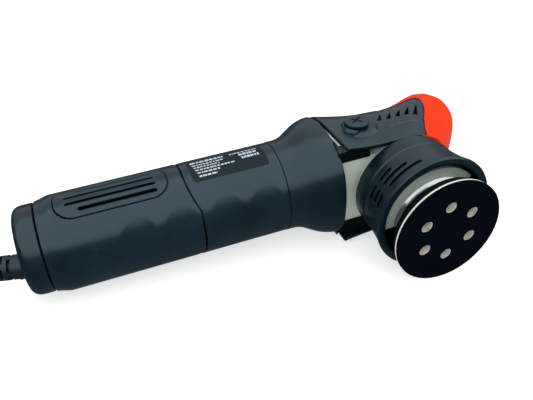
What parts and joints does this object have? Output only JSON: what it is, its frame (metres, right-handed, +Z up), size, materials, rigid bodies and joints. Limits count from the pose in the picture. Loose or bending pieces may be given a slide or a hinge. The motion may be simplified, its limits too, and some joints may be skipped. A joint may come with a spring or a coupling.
{
  "type": "mini random orbit polisher sander",
  "caption": "Slim corded random-orbit polisher and sander with a round barrel, soft nose grip, rubber skirt and a small hook-faced pad that orbits off its spindle.",
  "frame": {"origin": "centre of the footprint of the tool without its lead, on the floor it lies on", "axes": "+X from the cord end to the nose, +Y away from the pad towards the palm side, +Z up; the tool lies on its side and its barrel rises to the head by 2.82 degrees"},
  "size_m": [0.5304, 0.1887, 0.0837],
  "materials": {
    "nylon": "moulded glass-filled nylon, blue-black, fine spark texture",
    "grip_rubber": "soft-touch elastomer overmould, blue-black, matt",
    "orange_tpe": "soft-touch elastomer, orange-red, satin",
    "cast_aluminium": "die-cast aluminium, bead blasted",
    "skirt_rubber": "moulded rubber, blue-black, matt",
    "label_film": "printed polyester film, satin grey",
    "black_plastic": "black moulded plastic",
    "clear_board": "green lacquered circuit board",
    "steel": "turned and ground steel",
    "zinc_steel": "zinc-plated steel screw",
    "laminate": "stacked electrical steel, lacquered",
    "copper": "enamelled copper wire",
    "carbon": "pressed carbon",
    "brass": "drawn brass",
    "plated_pin": "nickel-plated brass pin",
    "weight_steel": "cast weight with a turned, bright step",
    "foam": "closed-cell foam, off-white",
    "hook_fabric": "woven hook fabric, near black",
    "cord_pvc": "black rubber-sheathed flexible lead"
  },
  "bodies": {
    "housing": {"rear_housing": "nylon", "front_housing": "nylon", "rear_cap": "grip_rubber", "vent_panel_left": "nylon", "vent_panel_right": "nylon", "bumper_sleeve": "grip_rubber", "label_plate": "label_film", "speed_board": "clear_board", "switch_body": "black_plastic", "noise_filter": "black_plastic", "stator_core": "laminate", "field_coils": "copper", "fan_baffle": "black_plastic", "rear_bearing": "steel", "front_bearing": "steel", "bearing_cup": "skirt_rubber", "brush_holders": "brass", "brushes": "carbon", "brush_springs": "steel", "upper_bearing": "steel", "lower_bearing": "steel", "gear_case": "cast_aluminium", "case_screws": "zinc_steel", "bearing_cover": "cast_aluminium", "cover_screws": "zinc_steel", "side_cover_left": "nylon", "side_cover_right": "nylon", "palm_grip": "orange_tpe", "handle_plugs": "nylon", "skirt": "skirt_rubber", "cord_guard": "cord_pvc", "cord_lead": "cord_pvc", "cord_coil": "cord_pvc", "cord_tail": "cord_pvc", "plug_body": "cord_pvc", "plug_pins": "plated_pin"},
    "armature": {"armature_shaft": "steel", "armature_core": "laminate", "armature_windings": "copper", "commutator": "copper", "cooling_fan": "black_plastic", "pinion": "steel"},
    "spindle_group": {"spindle": "steel", "crown_gear": "steel", "gear_retainer": "steel", "eccentric_hub": "steel", "counterweight": "weight_steel", "pad_bearings": "steel", "bearing_clip": "steel"},
    "pad": {"pad_arbor": "steel", "backing_plate": "black_plastic", "pad_foam": "foam", "hook_layer": "hook_fabric"},
    "switch": {"switch_slide": "black_plastic"},
    "dial": {"speed_dial": "black_plastic"}
  },
  "joints": [
    {"name": "spindle_spin", "type": "hinge", "parent": "housing", "child": "spindle_group", "pos_m": [0.11082, 0.0234, 0.04296], "axis": [0, 1, 0], "continuous": true},
    {"name": "armature_spin", "type": "hinge", "parent": "housing", "child": "armature", "pos_m": [0.11082, 0.0234, 0.04296], "axis": [0.9988, 0, 0.0493], "continuous": true},
    {"name": "pad_spin", "type": "hinge", "parent": "spindle_group", "child": "pad", "pos_m": [0.11331, 0.0234, 0.0375], "axis": [0, 1, 0], "continuous": true},
    {"name": "switch_slide_travel", "type": "slide", "parent": "housing", "child": "switch", "axis": [0.9988, 0, 0.0493], "range_m": [0, 0.006]},
    {"name": "speed_dial_turn", "type": "hinge", "parent": "housing", "child": "dial", "pos_m": [-0.1159, 0.046, 0.03178], "axis": [-0.0493, 0, 0.9988], "range_deg": [0, 260]}
  ],
  "couplings": [
    {"joint": "armature_spin", "follows": "spindle_spin", "ratio": -3.3}
  ]
}
